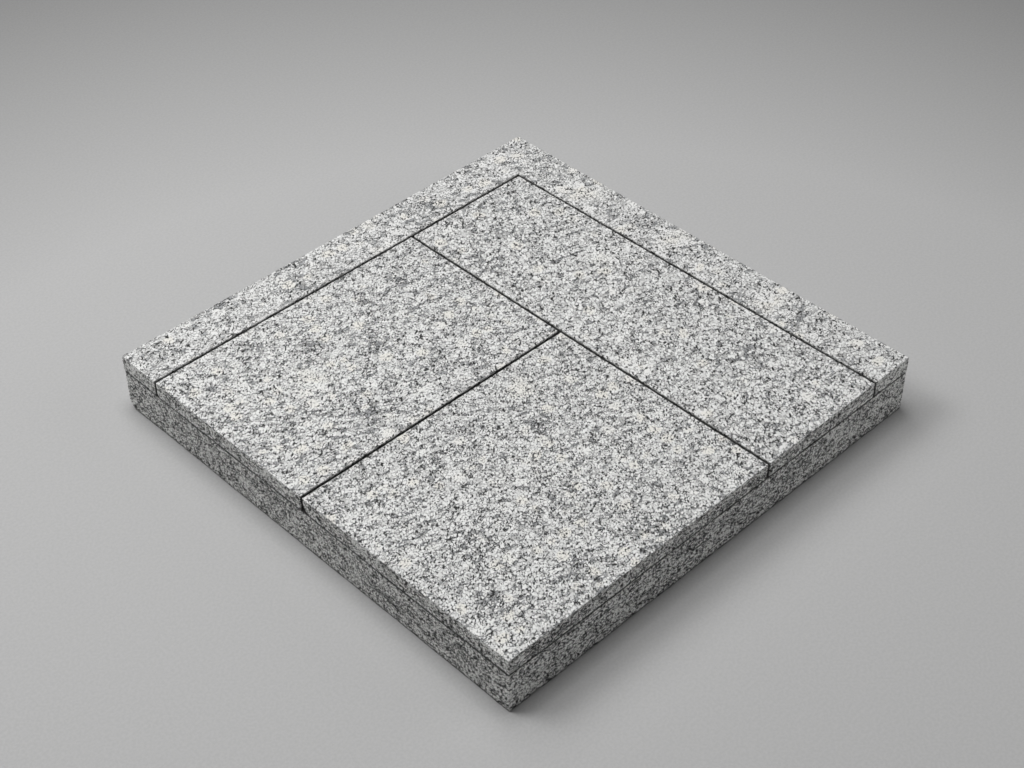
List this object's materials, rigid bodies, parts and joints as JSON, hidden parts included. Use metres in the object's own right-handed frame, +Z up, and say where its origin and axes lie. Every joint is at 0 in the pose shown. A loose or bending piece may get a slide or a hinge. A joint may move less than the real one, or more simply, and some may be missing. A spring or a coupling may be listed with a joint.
{
  "type": "stone veneer panel",
  "caption": "Square granite panel: an L-shaped border strip and rectangular slabs with open joints, bonded on a thick granite backing slab.",
  "frame": {"origin": "centre of the underside, on the surface the panel lies on", "axes": "+Z up out of the veneer face; +X towards the border strip's right arm; +Y towards the border strip's back arm"},
  "size_m": [0.6, 0.6, 0.073],
  "materials": {
    "granite_veneer": "light grey speckled granite, fine textured sawn face",
    "granite_backing": "grey speckled granite, rough sawn",
    "adhesive": "dark grey mortar adhesive, matt"
  },
  "bodies": {
    "root": {"backing_slab": "granite_backing", "adhesive_bed": "adhesive", "border_strip": "granite_veneer", "long_slab": "granite_veneer", "left_slab": "granite_veneer", "front_slab": "granite_veneer"}
  },
  "joints": []
}
